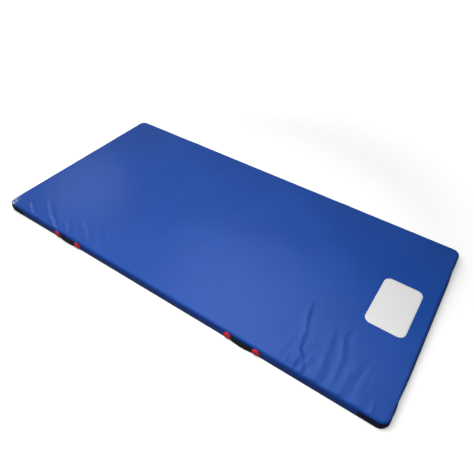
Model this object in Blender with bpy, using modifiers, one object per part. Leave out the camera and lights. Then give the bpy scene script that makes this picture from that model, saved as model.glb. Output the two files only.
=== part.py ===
"""Crash landing mat: a foam core in a sewn PVC cover with webbing handles and an end zip.

Metres, +Z up. The origin is the middle of the underside. X runs along the mat, Y across it.
The front long side faces -Y, and the zip is in the left end, which faces -X.
"""

import math

import bmesh
import bpy
from mathutils import Matrix, Vector

# Overall size of the closed cover
LENGTH = 2.0
WIDTH = 1.0
HEIGHT = 0.050

# Cover sheets
SHEET = 0.0010  # PVC-coated fabric
BASE_SHEET = 0.0012  # ribbed anti-slip sheet
GAP = 0.0003  # between pieces that touch on the real mat
CORNER_RADIUS = 0.034  # upright corners, in plan
TOP_EDGE_RADIUS = 0.008
BASE_EDGE_RADIUS = 0.005

# Foam core, two layers glued on the real mat
FIRM_LAYER = 0.020
ZIP_END_SPACE = 0.0055  # free space behind the zip for the slider's inner plate

# Black guards on the four upright corners
GUARD_LEG = 0.105
GUARD_SHEET = 0.0012
GUARD_MARGIN = 0.003  # from the seams above and below

# Carrying handles: black webbing under round red patches
HANDLE_X = {"left": -0.57, "right": 0.413}
PATCH_PITCH = 0.132
PATCH_RADIUS = 0.0185
PATCH_SHEET = 0.0016
PATCH_DOME = 0.0035
WEB_WIDTH = 0.032
WEB_THICKNESS = 0.0016
WEB_BOW = 0.0056  # how far the slack loop stands off the wall
BACKING_WIDTH = HEIGHT - 0.014  # it fills the wall between the two seams
BACKING_SHEET = 0.0009

# Zip in the left end
ZIP_LENGTH = WIDTH - 2 * (GUARD_LEG + 0.005)  # stops short of both corner guards
TAPE_HEIGHT = 0.014
TAPE_THICKNESS = 0.0008
ZIP_SLOT = 0.015  # opening between the upper and lower end panels
CHAIN_ROW = 0.0026  # height of one row of teeth
CHAIN_DEPTH = 0.0026
CHAIN_SLIT = 0.0014  # between the two rows, where the slider's bridge runs
SLIDER_LENGTH = 0.012
SLIDER_PLATE = 0.0013
SLIDER_LIP = 0.0010
PULL_LENGTH = 0.036
PULL_WIDTH = 0.0085
PULL_THICKNESS = 0.0012
END_TAB = 0.034  # length of the sheet tab sewn over each end of the zip

# Blank label on the top
LABEL_SIZE = (0.170, 0.278)
LABEL_CORNER = 0.030
LABEL_SHEET = 0.0006
LABEL_FROM_END = 0.153  # label centre to the right end

# Heights of the seams
WALL_TOP = HEIGHT - TOP_EDGE_RADIUS - GAP
WALL_BOTTOM = BASE_EDGE_RADIUS + GAP
MID_HEIGHT = (WALL_TOP + WALL_BOTTOM) / 2
ZIP_HEIGHT = MID_HEIGHT

COLOURS = {
    "pvc_blue": (0.045, 0.115, 0.42, 0.38, 0.0),
    "pvc_black": (0.012, 0.013, 0.018, 0.55, 0.0),
    "guard_black": (0.010, 0.012, 0.020, 0.35, 0.0),
    "webbing_black": (0.010, 0.010, 0.011, 0.85, 0.0),
    "patch_red": (0.55, 0.020, 0.030, 0.40, 0.0),
    "label_white": (0.80, 0.79, 0.77, 0.45, 0.0),
    "foam_soft": (0.70, 0.68, 0.55, 0.95, 0.0),
    "foam_firm": (0.18, 0.20, 0.25, 0.95, 0.0),
    "zip_tape": (0.015, 0.015, 0.018, 0.90, 0.0),
    "zip_teeth": (0.030, 0.030, 0.034, 0.40, 0.0),
    "zip_metal": (0.60, 0.60, 0.62, 0.30, 1.0),
}


def clear_scene():
    for obj in list(bpy.data.objects):
        bpy.data.objects.remove(obj)


def material(slot):
    red, green, blue, roughness, metallic = COLOURS[slot]
    made = bpy.data.materials.get(slot)
    if made is None:
        made = bpy.data.materials.new(slot)
        made.use_nodes = True
        shader = made.node_tree.nodes["Principled BSDF"]
        shader.inputs["Base Color"].default_value = (red, green, blue, 1)
        shader.inputs["Roughness"].default_value = roughness
        shader.inputs["Metallic"].default_value = metallic
    return made


def add_object(name, bm, slot, collection):
    """Turns a bmesh into a named object with its material."""
    bmesh.ops.recalc_face_normals(bm, faces=bm.faces)
    mesh = bpy.data.meshes.new(name)
    bm.to_mesh(mesh)
    bm.free()
    obj = bpy.data.objects.new(name, mesh)
    collection.objects.link(obj)
    obj.data.materials.append(material(slot))
    return obj


def solidify(obj, thickness):
    """Gives an open sheet its thickness, measured inward from its outer face."""
    modifier = obj.modifiers.new("sheet", "SOLIDIFY")
    modifier.thickness = thickness
    modifier.offset = -1
    modifier.use_even_offset = True
    return obj


def box(low, high):
    """A closed box between two corners."""
    low, high = Vector(low), Vector(high)
    bm = bmesh.new()
    bmesh.ops.create_cube(bm, size=1)
    bmesh.ops.scale(bm, verts=bm.verts, vec=high - low)
    bmesh.ops.translate(bm, verts=bm.verts, vec=(low + high) / 2)
    return bm


def bevel_where(bm, radius, segments, chosen):
    """Rounds the edges for which chosen(edge) is true."""
    edges = [edge for edge in bm.edges if chosen(edge)]
    bmesh.ops.bevel(
        bm, geom=edges, offset=radius, segments=segments, profile=0.5, affect="EDGES", clamp_overlap=True
    )


def is_upright(edge):
    first, second = edge.verts
    return abs(first.co.z - second.co.z) > 1e-6


def lies_at(height):
    def test(edge):
        return all(abs(vert.co.z - height) < 1e-6 for vert in edge.verts)

    return test


def delete_faces_at(bm, height):
    """Opens a box by deleting the faces that lie flat at this height."""
    faces = [face for face in bm.faces if all(abs(vert.co.z - height) < 1e-6 for vert in face.verts)]
    bmesh.ops.delete(bm, geom=faces, context="FACES_ONLY")
    loose = [edge for edge in bm.edges if not edge.link_faces]
    bmesh.ops.delete(bm, geom=loose, context="EDGES")


def rounded_block(inset, bottom, top, left_inset=None):
    """A block with the mat's rounded plan, each side drawn in by inset."""
    left_inset = inset if left_inset is None else left_inset
    bm = box(
        (-LENGTH / 2 + left_inset, -WIDTH / 2 + inset, bottom),
        (LENGTH / 2 - inset, WIDTH / 2 - inset, top),
    )
    bevel_where(bm, max(CORNER_RADIUS - inset, 0.004), 6, is_upright)
    return bm


def wall_ring(outset, bottom, top):
    """The open band of wall right round the mat, standing out by outset."""
    bm = rounded_block(-outset, bottom, top)
    delete_faces_at(bm, bottom)
    delete_faces_at(bm, top)
    return bm


def keep_side(bm, point, normal):
    """Cuts away what lies beyond the plane through point, on the side that normal points to."""
    geometry = bm.verts[:] + bm.edges[:] + bm.faces[:]
    bmesh.ops.bisect_plane(bm, geom=geometry, dist=1e-7, plane_co=point, plane_no=normal, clear_outer=True)


def make_core(parts):
    """Two foam layers, the firm one below."""
    side = SHEET + 2 * GAP
    floor = BASE_SHEET + GAP
    ceiling = HEIGHT - SHEET - GAP
    middle = floor + FIRM_LAYER
    for name, bottom, top, slot in (
        ("foam_core_firm", floor, middle, "foam_firm"),
        ("foam_core_soft", middle + GAP, ceiling, "foam_soft"),
    ):
        bm = rounded_block(side + BACKING_SHEET + GAP, bottom, top, left_inset=ZIP_END_SPACE)
        if name == "foam_core_soft":
            bevel_where(bm, TOP_EDGE_RADIUS, 3, lies_at(top))
        else:
            bevel_where(bm, BASE_EDGE_RADIUS, 2, lies_at(bottom))
        add_object(name, bm, slot, parts)


def make_top_panel(parts):
    """The top sheet with its rounded edge turned down to the wall seam."""
    bm = rounded_block(0, HEIGHT - TOP_EDGE_RADIUS, HEIGHT)
    delete_faces_at(bm, HEIGHT - TOP_EDGE_RADIUS)
    bevel_where(bm, TOP_EDGE_RADIUS * 0.98, 4, lies_at(HEIGHT))
    solidify(add_object("top_panel", bm, "pvc_blue", parts), SHEET)


def make_base_panel(parts):
    """The anti-slip sheet with its edge turned up to the wall seam."""
    bm = rounded_block(0, 0, BASE_EDGE_RADIUS)
    delete_faces_at(bm, BASE_EDGE_RADIUS)
    bevel_where(bm, BASE_EDGE_RADIUS * 0.96, 3, lies_at(0))
    solidify(add_object("base_panel", bm, "pvc_black", parts), BASE_SHEET)


def make_long_walls(parts):
    """The front and back walls, which also turn round the upright corners."""
    for name, side in (("front_wall", -1), ("back_wall", 1)):
        bm = wall_ring(0, WALL_BOTTOM, WALL_TOP)
        keep_side(bm, (0, side * (WIDTH / 2 - CORNER_RADIUS - GAP / 2), 0), (0, -side, 0))
        solidify(add_object(name, bm, "pvc_blue", parts), SHEET)


def make_end_wall(name, side, bottom, top, parts):
    half = WIDTH / 2 - CORNER_RADIUS - 1.5 * GAP
    outer = side * LENGTH / 2
    inner = side * (LENGTH / 2 - SHEET)
    bm = box((min(outer, inner), -half, bottom), (max(outer, inner), half, top))
    add_object(name, bm, "pvc_blue", parts)


def make_end_walls(parts):
    """The right end is one panel. The left end is an upper and a lower one, with the zip between."""
    make_end_wall("right_end_wall", 1, WALL_BOTTOM, WALL_TOP, parts)
    make_end_wall("left_end_wall_upper", -1, ZIP_HEIGHT + ZIP_SLOT / 2, WALL_TOP, parts)
    make_end_wall("left_end_wall_lower", -1, WALL_BOTTOM, ZIP_HEIGHT - ZIP_SLOT / 2, parts)


def make_corner_guards(parts):
    """Four black guards, each wrapped round one upright corner."""
    for x_name, x_side in (("left", -1), ("right", 1)):
        for y_name, y_side in (("front", -1), ("back", 1)):
            bm = wall_ring(GAP + GUARD_SHEET, WALL_BOTTOM + GUARD_MARGIN, WALL_TOP - GUARD_MARGIN)
            keep_side(bm, (x_side * (LENGTH / 2 - GUARD_LEG), 0, 0), (-x_side, 0, 0))
            keep_side(bm, (0, y_side * (WIDTH / 2 - GUARD_LEG), 0), (0, -y_side, 0))
            name = f"corner_guard_{y_name}_{x_name}"
            solidify(add_object(name, bm, "guard_black", parts), GUARD_SHEET)


def strap_height(along):
    """How far the loop's inner face stands off the wall, at a share of its length from 0 to 1."""
    return GAP + WEB_BOW * (math.sin(math.pi * along) ** 0.8)


def strap_sheet(half_span, steps=14):
    """The slack webbing loop as an open upright sheet, its inner face towards the wall."""
    bm = bmesh.new()
    low = MID_HEIGHT - WEB_WIDTH / 2
    points = []
    for step in range(steps + 1):
        along = step / steps
        x = -half_span + 2 * half_span * along
        points.append(bm.verts.new((x, -(strap_height(along) + WEB_THICKNESS), low)))
    edges = [bm.edges.new(pair) for pair in zip(points, points[1:])]
    raised = bmesh.ops.extrude_edge_only(bm, edges=edges)
    top_verts = [item for item in raised["geom"] if isinstance(item, bmesh.types.BMVert)]
    bmesh.ops.translate(bm, verts=top_verts, vec=(0, 0, WEB_WIDTH))
    return bm


def face_outward(obj):
    """Turns a sheet's faces so that they look away from the mat, towards -Y."""
    mesh = obj.data
    if sum(face.normal.y for face in mesh.polygons) > 0:
        mesh.flip_normals()


def make_patch(name, place, parts):
    """A round patch, turned about its own axis: thin at the rim and domed in the middle."""
    profile = [
        (0, PATCH_SHEET + PATCH_DOME),
        (PATCH_RADIUS * 0.40, PATCH_SHEET + PATCH_DOME * 0.92),
        (PATCH_RADIUS * 0.70, PATCH_SHEET + PATCH_DOME * 0.62),
        (PATCH_RADIUS * 0.92, PATCH_SHEET),
        (PATCH_RADIUS, PATCH_SHEET * 0.5),
        (PATCH_RADIUS, 0),
        (0, 0),
    ]
    mesh = bpy.data.meshes.new(name)
    edges = [(index, index + 1) for index in range(len(profile) - 1)]
    mesh.from_pydata([(radius, 0, height) for radius, height in profile], edges, [])
    obj = bpy.data.objects.new(name, mesh)
    parts.objects.link(obj)
    obj.data.materials.append(material("patch_red"))
    screw = obj.modifiers.new("turn", "SCREW")
    screw.steps = 40
    screw.render_steps = 40
    screw.use_merge_vertices = True
    screw.merge_threshold = 0.0001
    screw.use_smooth_shade = True
    obj.matrix_world = place @ Matrix.Rotation(math.pi / 2, 4, "X")
    return obj


def make_handle(y_name, x_name, centre_x, parts):
    """One handle: a backing strip inside the wall, two sewn-down ends, two patches and the loop."""
    name = f"{y_name}_{x_name}_handle"
    turn = Matrix.Rotation(0 if y_name == "front" else math.pi, 4, "Z")
    if y_name == "front":
        place = Matrix.Translation((centre_x, -WIDTH / 2, 0))
    else:
        place = Matrix.Translation((centre_x, WIDTH / 2, 0)) @ turn
    patch_x = PATCH_PITCH / 2
    web_low = MID_HEIGHT - WEB_WIDTH / 2
    web_high = MID_HEIGHT + WEB_WIDTH / 2
    loop_half = patch_x - PATCH_RADIUS - GAP

    def put(part_name, bm, slot):
        obj = add_object(f"{name}_{part_name}", bm, slot, parts)
        obj.matrix_world = place
        return obj

    strap = put("strap", strap_sheet(loop_half), "webbing_black")
    face_outward(strap)
    solidify(strap, WEB_THICKNESS)
    for end_name, end in (("left", -1), ("right", 1)):
        inner_x = end * (loop_half + GAP)
        outer_x = end * (patch_x + PATCH_RADIUS * 0.75)
        tab = box(
            (min(inner_x, outer_x), -GAP - WEB_THICKNESS, web_low),
            (max(inner_x, outer_x), -GAP, web_high),
        )
        put(f"{end_name}_end", tab, "webbing_black")
        centre = Vector((end * patch_x, -(2 * GAP + WEB_THICKNESS), MID_HEIGHT))
        make_patch(f"{name}_{end_name}_patch", place @ Matrix.Translation(centre), parts)
    backing_half = patch_x + PATCH_RADIUS
    backing = box(
        (-backing_half, SHEET + GAP, MID_HEIGHT - BACKING_WIDTH / 2),
        (backing_half, SHEET + GAP + BACKING_SHEET, MID_HEIGHT + BACKING_WIDTH / 2),
    )
    put("backing", backing, "pvc_black")


def make_handles(parts):
    for y_name in ("front", "back"):
        for x_name, centre_x in HANDLE_X.items():
            make_handle(y_name, x_name, centre_x, parts)


def depth(inward):
    """The x of a point this far inward of the left end's outer face."""
    return -LENGTH / 2 + inward


TAPE_FRONT = SHEET + GAP
CHAIN_CENTRE = TAPE_FRONT + TAPE_THICKNESS / 2
CHAIN_FRONT = CHAIN_CENTRE - CHAIN_DEPTH / 2
CHAIN_BACK = CHAIN_CENTRE + CHAIN_DEPTH / 2
SLIDER_REST_Y = -ZIP_LENGTH / 2 + END_TAB + SLIDER_LENGTH / 2 + 0.002
HINGE_DEPTH = CHAIN_FRONT - GAP - SLIDER_PLATE - GAP - PULL_THICKNESS / 2


def make_zip_tapes(parts):
    """Woven tapes behind the end panels, and the two rows of teeth on their inner edges."""
    half = ZIP_LENGTH / 2
    row_start = CHAIN_SLIT / 2
    row_end = row_start + CHAIN_ROW
    for name, side in (("upper", 1), ("lower", -1)):
        near = ZIP_HEIGHT + side * (row_end + GAP)
        far = ZIP_HEIGHT + side * (row_end + GAP + TAPE_HEIGHT - CHAIN_ROW)
        tape = box(
            (depth(TAPE_FRONT), -half, min(near, far)),
            (depth(TAPE_FRONT + TAPE_THICKNESS), half, max(near, far)),
        )
        add_object(f"zip_tape_{name}", tape, "zip_tape", parts)
        first = ZIP_HEIGHT + side * row_start
        last = ZIP_HEIGHT + side * row_end
        teeth = box(
            (depth(CHAIN_FRONT), -half, min(first, last)),
            (depth(CHAIN_BACK), half, max(first, last)),
        )
        add_object(f"zip_teeth_{name}", teeth, "zip_teeth", parts)


def make_zip_end_tabs(parts):
    """Small sheet tabs sewn across both ends of the zip, over the wall's face."""
    for name, side in (("front", -1), ("back", 1)):
        outer = side * (ZIP_LENGTH / 2 + 0.004)
        inner = side * (ZIP_LENGTH / 2 - END_TAB)
        tab = box(
            (depth(-GAP - SHEET), min(outer, inner), ZIP_HEIGHT - ZIP_SLOT / 2 - 0.005),
            (depth(-GAP), max(outer, inner), ZIP_HEIGHT + ZIP_SLOT / 2 + 0.005),
        )
        add_object(f"zip_end_tab_{name}", tab, "guard_black", parts)


def join(obj, others):
    """Unites overlapping solids with obj, and removes them."""
    for other in others:
        modifier = obj.modifiers.new("join", "BOOLEAN")
        modifier.operation = "UNION"
        modifier.object = other
    bpy.context.view_layer.update()
    graph = bpy.context.evaluated_depsgraph_get()
    mesh = bpy.data.meshes.new_from_object(obj.evaluated_get(graph))
    obj.modifiers.clear()
    obj.data = mesh
    for other in others:
        bpy.data.objects.remove(other)
    return obj


def make_slider(parts):
    """Two plates joined by a thin bridge between the rows, lips round the chain, and a bail."""
    y = SLIDER_REST_Y
    half = SLIDER_LENGTH / 2
    reach = CHAIN_SLIT / 2 + CHAIN_ROW + GAP + SLIDER_LIP
    front_face = CHAIN_FRONT - GAP - SLIDER_PLATE
    back_face = CHAIN_BACK + GAP + SLIDER_PLATE
    bridge = CHAIN_SLIT / 2 - GAP
    lip_gap = GAP + TAPE_THICKNESS / 2
    bail_half = 0.0032
    bail_width = 0.0015
    bail_height = 2 * GAP + PULL_THICKNESS

    def piece(low_depth, high_depth, low_y, high_y, low_z, high_z):
        bm = box(
            (depth(low_depth), y + low_y, ZIP_HEIGHT + low_z),
            (depth(high_depth), y + high_y, ZIP_HEIGHT + high_z),
        )
        return add_object("zip_slider_piece", bm, "zip_metal", parts)

    front = piece(front_face, CHAIN_FRONT - GAP, -half, half, -reach, reach)
    front.name = "zip_slider"
    others = [
        piece(CHAIN_BACK + GAP, back_face, -half, half, -reach, reach),
        piece(front_face + SLIDER_PLATE / 2, back_face - SLIDER_PLATE / 2, -half * 0.6, half * 0.6, -bridge, bridge),
    ]
    for side in (-1, 1):
        low_z, high_z = sorted((side * reach, side * (reach - SLIDER_LIP)))
        others.append(piece(front_face + 0.0005, CHAIN_CENTRE - lip_gap, -half, half, low_z, high_z))
        others.append(piece(CHAIN_CENTRE + lip_gap, back_face - 0.0005, -half, half, low_z, high_z))
        low_y, high_y = sorted((side * bail_half, side * (bail_half - 0.0011)))
        others.append(
            piece(front_face - bail_height - 0.0005, front_face + 0.0004, low_y, high_y, -bail_width, bail_width)
        )
    others.append(
        piece(
            front_face - bail_height - 0.0011, front_face - bail_height,
            -bail_half, bail_half, -bail_width, bail_width,
        )
    )
    join(front, others)


def make_pull(parts):
    """A flat tab on a crossbar through the slider's bail. Its origin is on the hinge axis."""
    arm_inner = 0.0015 + GAP
    arm = PULL_WIDTH / 2 - arm_inner
    half = PULL_THICKNESS / 2
    neck = 0.0050

    def piece(low, high):
        return add_object("zip_pull_piece", box(low, high), "zip_metal", parts)

    tab = piece((-half, neck, -PULL_WIDTH / 2), (half, PULL_LENGTH, PULL_WIDTH / 2))
    tab.name = "zip_pull"
    bar = bmesh.new()
    bmesh.ops.create_cone(bar, cap_ends=True, segments=12, radius1=half, radius2=half, depth=PULL_WIDTH)
    others = [add_object("zip_pull_piece", bar, "zip_metal", parts)]
    for side in (-1, 1):
        low_z, high_z = sorted((side * arm_inner, side * (arm_inner + arm)))
        others.append(piece((-half, 0, low_z), (half, neck + 0.0005, high_z)))
    join(tab, others)
    tab.location = (depth(HINGE_DEPTH), SLIDER_REST_Y, ZIP_HEIGHT)


def make_label(parts):
    """A blank rounded label, 0.3 mm above the top sheet."""
    across, deep = LABEL_SIZE
    centre = LENGTH / 2 - LABEL_FROM_END
    bm = box(
        (centre - across / 2, -deep / 2, HEIGHT + GAP),
        (centre + across / 2, deep / 2, HEIGHT + GAP + LABEL_SHEET),
    )
    bevel_where(bm, LABEL_CORNER, 8, is_upright)
    add_object("label_patch", bm, "label_white", parts)


def main():
    clear_scene()
    parts = bpy.data.collections.new("crash_landing_mat")
    bpy.context.scene.collection.children.link(parts)
    make_core(parts)
    make_top_panel(parts)
    make_base_panel(parts)
    make_long_walls(parts)
    make_end_walls(parts)
    make_corner_guards(parts)
    make_handles(parts)
    make_zip_tapes(parts)
    make_zip_end_tabs(parts)
    make_slider(parts)
    make_pull(parts)
    make_label(parts)


main()
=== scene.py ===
# %% [markdown]
# # A crash landing mat
#
# The mat is a slab of foam in a sewn vinyl cover. The fixed frame gives every panel, handle and zip
# part its place and size. This lesson makes the looks around it: the cover with its drag folds, the
# stitching, the webbing, the zip teeth, and a finish for each. Everything is in metres, +Z up.

# %% Load the frame
import math

import bmesh
import bpy
import numpy as np
from mathutils import Matrix, Vector, noise
from mathutils.bvhtree import BVHTree


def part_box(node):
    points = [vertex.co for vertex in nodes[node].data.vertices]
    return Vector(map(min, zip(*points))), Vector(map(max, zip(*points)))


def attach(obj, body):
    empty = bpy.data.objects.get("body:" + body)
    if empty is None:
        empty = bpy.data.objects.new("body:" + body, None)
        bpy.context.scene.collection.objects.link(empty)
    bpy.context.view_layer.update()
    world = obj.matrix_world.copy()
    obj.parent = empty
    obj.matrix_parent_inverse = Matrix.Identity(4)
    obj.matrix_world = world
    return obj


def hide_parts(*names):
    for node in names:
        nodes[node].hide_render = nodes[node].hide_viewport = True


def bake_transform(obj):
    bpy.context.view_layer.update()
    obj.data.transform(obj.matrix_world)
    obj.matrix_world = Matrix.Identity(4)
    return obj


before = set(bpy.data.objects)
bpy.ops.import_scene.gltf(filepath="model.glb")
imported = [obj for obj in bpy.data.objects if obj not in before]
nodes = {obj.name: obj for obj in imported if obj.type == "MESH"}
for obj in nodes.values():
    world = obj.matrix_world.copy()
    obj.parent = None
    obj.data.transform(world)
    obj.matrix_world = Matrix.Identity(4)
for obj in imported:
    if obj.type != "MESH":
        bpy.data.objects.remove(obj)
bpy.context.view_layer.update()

# %% Read the mat's main sizes from the frame
HALF_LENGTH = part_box("top_panel")[1].x
HALF_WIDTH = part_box("top_panel")[1].y
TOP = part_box("top_panel")[1].z
WALL_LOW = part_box("front_wall")[0].z
WALL_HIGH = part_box("front_wall")[1].z
CORNER = HALF_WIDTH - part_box("right_end_wall")[1].y
SLOT_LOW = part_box("left_end_wall_lower")[1].z
SLOT_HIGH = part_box("left_end_wall_upper")[0].z
print("half sizes:", round(HALF_LENGTH, 3), round(HALF_WIDTH, 3), "corner radius:", round(CORNER, 4))

# %% [markdown]
# ## Camera and light
#
# The eye stands in front of the right end at standing height and looks down on the mat at about
# 45 degrees, with the camera tipped a little clockwise. Two broad lamps overhead give the even light
# and are left out of reflections, as flags round each lamp would do. Three small ones light nothing
# and only show as reflections: a soft sheen at the front edge, and two narrow beams that glint on
# the folds. The room is light on the left and dark on the right, so the rims that turn away go almost black.

# %% Set the camera
AIM = Vector((0.058, 0.004, 0.0))
AZIMUTH = math.radians(31.75)
ELEVATION = math.radians(44.31)
TIP = math.radians(2.76)
DISTANCE = 2.152
LENS = 33.18

level = math.cos(ELEVATION)
back = Vector((math.sin(AZIMUTH) * level, -math.cos(AZIMUTH) * level, math.sin(ELEVATION)))
level_right = (-back).cross(Vector((0, 0, 1))).normalized()
level_up = level_right.cross(-back)
right = level_right * math.cos(TIP) + level_up * math.sin(TIP)
up = level_up * math.cos(TIP) - level_right * math.sin(TIP)
camera_data = bpy.data.cameras.new("camera")
camera_data.lens = LENS
camera_data.clip_start = 0.05
camera = bpy.data.objects.new("camera", camera_data)
turned = Matrix((right, up, back)).transposed().to_4x4()
camera.matrix_world = Matrix.Translation(AIM + back * DISTANCE) @ turned
bpy.context.scene.collection.objects.link(camera)
bpy.context.scene.camera = camera
print("camera at", [round(value, 3) for value in camera.location])


# %% Hang the lamps
def area_lamp(name, place, aim, size, power):
    data = bpy.data.lights.new(name, "AREA")
    data.shape = "DISK"
    data.size = size
    data.energy = power
    lamp = bpy.data.objects.new(name, data)
    lamp.location = place
    lamp.rotation_mode = "QUATERNION"
    lamp.rotation_quaternion = (Vector(aim) - Vector(place)).to_track_quat("-Z", "Y")
    bpy.context.scene.collection.objects.link(lamp)
    return lamp


BEAM = math.radians(14)  # the full angle of a narrow beam
broad_lamps = [
    area_lamp("key_lamp", (0.15, -0.85, 1.8), (0.15, -0.4, 0), 1.5, 30),
    area_lamp("left_lamp", (-1.4, 0.2, 2.0), (-0.9, 0.0, 0), 1.2, 13),
]
sheen_lamp = area_lamp("sheen_lamp", (-0.15, 0.53, 1.92), (0.44, -0.5, 0), 0.6, 13)
beam_lamps = [
    area_lamp("glint_lamp", (-2.1, 1.3, 1.47), (-0.70, -0.50, 0), 0.45, 0.15),
    area_lamp("fold_lamp", (2.05, 0.93, 1.82), (0.72, -0.50, 0), 0.4, 0.10),
]
for lamp in broad_lamps:
    lamp.visible_glossy = False
for lamp in (sheen_lamp, *beam_lamps):
    lamp.visible_diffuse = False
for lamp in beam_lamps:
    lamp.data.spread = BEAM
bpy.context.scene.view_settings.view_transform = "Standard"

# %% [markdown]
# ## Finishes
#
# The cover is polyester cloth coated with vinyl. Up close its face has a fine pebbled emboss, and
# the threads of the cloth show through it as a faint square grid. Both are heights, so they go in
# one shader group that each vinyl uses with its own values. Handling marks are another group: broad
# cloudy tone, and thin scuffs, with a painted highlight at one corner. Webbing and zip tape share a
# woven one.


# %% Short helpers for shader trees
def new_material(name, base, roughness, metallic=0.0, coat=0.0):
    made = bpy.data.materials.new(name)
    made.use_nodes = True
    made.diffuse_color = (*base, 1)
    shader = made.node_tree.nodes["Principled BSDF"]
    shader.inputs["Base Color"].default_value = (*base, 1)
    shader.inputs["Roughness"].default_value = roughness
    shader.inputs["Metallic"].default_value = metallic
    shader.inputs["Coat Weight"].default_value = coat
    return made, made.node_tree, shader


def feed(tree, socket, value):
    """Links a socket to another node's output, or sets its own value."""
    if isinstance(value, bpy.types.NodeSocket):
        tree.links.new(value, socket)
    else:
        socket.default_value = value


def add_node(tree, kind, settings=None, **inputs):
    made = tree.nodes.new(kind)
    for name, value in (settings or {}).items():
        setattr(made, name, value)
    for name, value in inputs.items():
        feed(tree, made.inputs[name.replace("_", " ")], value)
    return made


def maths(tree, operation, first, second=0.0):
    made = add_node(tree, "ShaderNodeMath", {"operation": operation})
    feed(tree, made.inputs[0], first)
    feed(tree, made.inputs[1], second)
    return made.outputs[0]


def spread(tree, value, from_low, from_high, to_low, to_high):
    ends = {"From_Min": from_low, "From_Max": from_high, "To_Min": to_low, "To_Max": to_high}
    return add_node(tree, "ShaderNodeMapRange", Value=value, **ends).outputs["Result"]


def mixed_colour(tree, share, first, second):
    made = add_node(tree, "ShaderNodeMix", {"data_type": "RGBA"})
    feed(tree, made.inputs[0], share)
    for socket, value in ((made.inputs[6], first), (made.inputs[7], second)):
        feed(tree, socket, value if isinstance(value, bpy.types.NodeSocket) else (*value, 1))
    return made.outputs[2]


def scaled(colour, factor):
    return tuple(value * factor for value in colour)


def object_place(tree):
    return add_node(tree, "ShaderNodeTexCoord").outputs["Object"]


def parts_of(tree, place):
    return add_node(tree, "ShaderNodeSeparateXYZ", Vector=place).outputs


def new_group(name, inputs, outputs):
    """A shader group whose inputs are named numbers with defaults, and whose outputs are numbers."""
    tree = bpy.data.node_groups.new(name, "ShaderNodeTree")
    for label, value in inputs.items():
        socket = tree.interface.new_socket(label, in_out="INPUT", socket_type="NodeSocketFloat")
        socket.default_value = value
    for label in outputs:
        tree.interface.new_socket(label, in_out="OUTPUT", socket_type="NodeSocketFloat")
    return tree, tree.nodes.new("NodeGroupInput"), tree.nodes.new("NodeGroupOutput")


def place_group(tree, group, **inputs):
    return add_node(tree, "ShaderNodeGroup", {"node_tree": group}, **inputs)


def bump(tree, shader, height, distance):
    made = add_node(tree, "ShaderNodeBump", Height=height, Distance=distance)
    tree.links.new(made.outputs["Normal"], shader.inputs["Normal"])


# %% Light the room
def studio_room():
    """A room whose brightness falls from its left side to its right side."""
    room = bpy.data.worlds.new("studio")
    room.use_nodes = True
    tree = room.node_tree
    way = add_node(tree, "ShaderNodeTexCoord").outputs["Generated"]
    background = tree.nodes["Background"]
    fall = spread(tree, parts_of(tree, way)["X"], -0.9, 0.2, 0.42, 0.12)
    tree.links.new(fall, background.inputs["Strength"])
    background.inputs["Color"].default_value = (1, 1, 1, 1)
    return room


bpy.context.scene.world = studio_room()


# %% The emboss group
def build_emboss():
    """Pebble grain with the cloth's square grid under it."""
    inputs = {"Pebbles per m": 900.0, "Threads per m": 600.0, "Grid share": 0.4}
    tree, start, end = new_group("vinyl_emboss", inputs, ["Height"])
    place = object_place(tree)
    size = start.outputs["Pebbles per m"]
    cells = add_node(tree, "ShaderNodeTexVoronoi", {"feature": "SMOOTH_F1"}, Vector=place, Scale=size)
    pebble = spread(tree, cells.outputs["Distance"], 0.0, 0.7, 1.0, 0.0)
    turns = maths(tree, "MULTIPLY", start.outputs["Threads per m"], 2 * math.pi)
    phases = [maths(tree, "MULTIPLY", part, turns) for part in parts_of(tree, place)]
    waves = [maths(tree, "SINE", phase) for phase in phases]
    grid = maths(tree, "ADD", maths(tree, "ADD", waves[0], waves[1]), waves[2])
    grid_part = maths(tree, "MULTIPLY", grid, start.outputs["Grid share"])
    tree.links.new(maths(tree, "ADD", pebble, grid_part), end.inputs["Height"])
    return tree


EMBOSS = build_emboss()
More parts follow.
